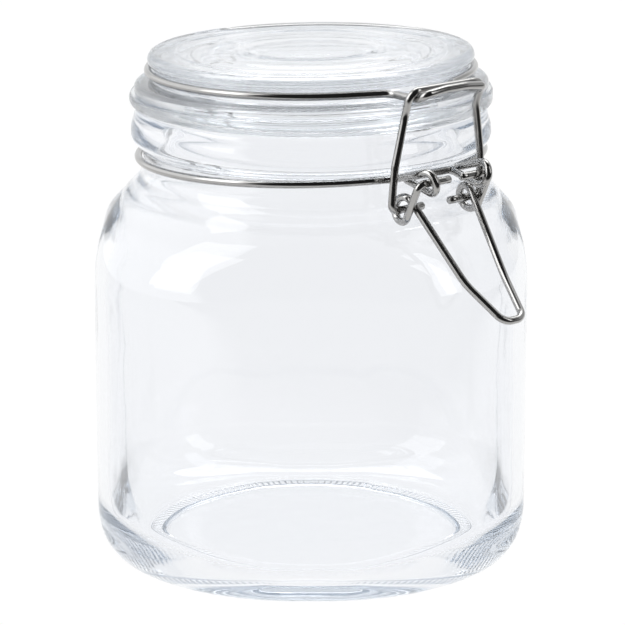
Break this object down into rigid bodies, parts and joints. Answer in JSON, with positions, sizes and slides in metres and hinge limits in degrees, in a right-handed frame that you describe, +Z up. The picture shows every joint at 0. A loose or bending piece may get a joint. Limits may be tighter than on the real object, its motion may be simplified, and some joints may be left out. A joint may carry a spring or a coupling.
{
  "type": "bail clamp jar",
  "caption": "Rounded-square glass storage jar with a hinged glass lid, a sealing ring and an over-centre wire bail clamp.",
  "frame": {"origin": "centre of the foot ring, on the surface that the jar stands on", "axes": "+Z up along the jar's axis; the body's flat sides face +X, -X, +Y and -Y; the clamp points 50 degrees from +X towards -Y, and the lid's hinge is opposite it"},
  "size_m": [0.118, 0.1245, 0.144],
  "materials": {
    "glass": "clear pressed soda-lime glass with a faint grey-blue tint",
    "lid_glass": "clear pressed soda-lime glass with a faint grey-blue tint",
    "seal": "translucent white rubber, satin",
    "wire": "drawn stainless steel wire, bright"
  },
  "bodies": {
    "jar": {"glass_jar": "glass", "neck_ring": "wire"},
    "lid": {"glass_lid": "lid_glass", "gasket": "seal", "lid_ring": "wire"},
    "lever": {"lever": "wire"},
    "bail": {"bail": "wire"}
  },
  "joints": [
    {"name": "lid_hinge", "type": "hinge", "parent": "jar", "child": "lid", "pos_m": [-0.03445, 0.04106, 0.1123], "axis": [-0.766, -0.6428, 0], "range_deg": [0, 110]},
    {"name": "lever_pivot", "type": "hinge", "parent": "jar", "child": "lever", "pos_m": [0.03786, -0.04512, 0.1168], "axis": [-0.766, -0.6428, 0], "range_deg": [0, 120], "deforming": ["lid_ring"]},
    {"name": "bail_pivot", "type": "hinge", "parent": "lever", "child": "bail", "pos_m": [0.03304, -0.03938, 0.1087], "axis": [-0.766, -0.6428, 0], "range_deg": [-115, 0]}
  ],
  "couplings": [
    {"joint": "bail_pivot", "follows": "lever_pivot", "ratio": -0.95}
  ]
}
